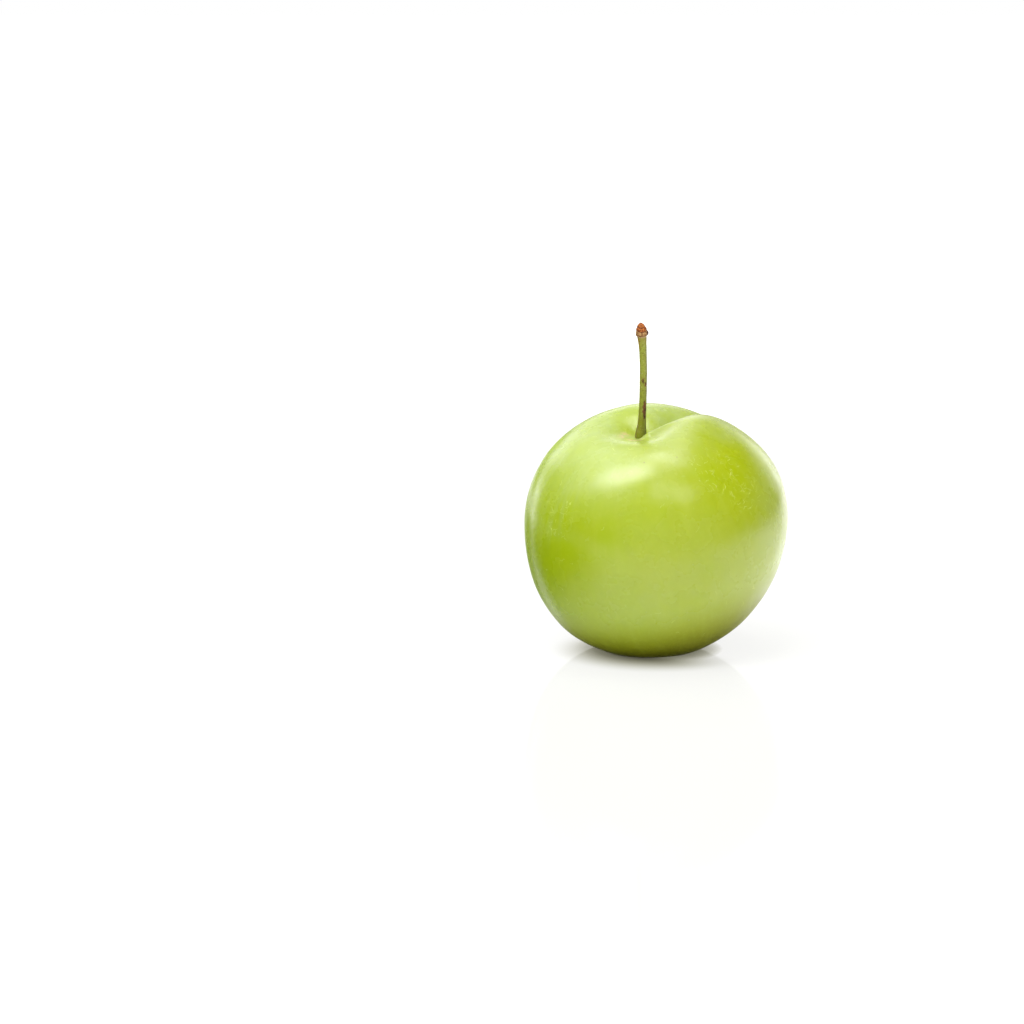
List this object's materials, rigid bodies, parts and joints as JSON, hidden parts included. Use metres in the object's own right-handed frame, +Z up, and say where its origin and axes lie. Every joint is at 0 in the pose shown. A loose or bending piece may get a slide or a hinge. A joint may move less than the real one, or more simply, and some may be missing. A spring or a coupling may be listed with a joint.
{
  "type": "green plum",
  "caption": "Whole green plum with its stalk: a round, waxy stone fruit with a suture furrow and a stalk hollow, resting on a small flat spot.",
  "frame": {"origin": "centre of the small flat spot that the plum rests on", "axes": "+Z up from the resting spot, -Y towards the side that the stalk end leans to, +X to its right"},
  "size_m": [0.0379, 0.0381, 0.048],
  "materials": {
    "plum_skin": "waxy, softly glossy",
    "stalk": "matte, green bark with a brown end"
  },
  "bodies": {
    "root": {"fruit": "plum_skin", "stem": "stalk"}
  },
  "joints": []
}
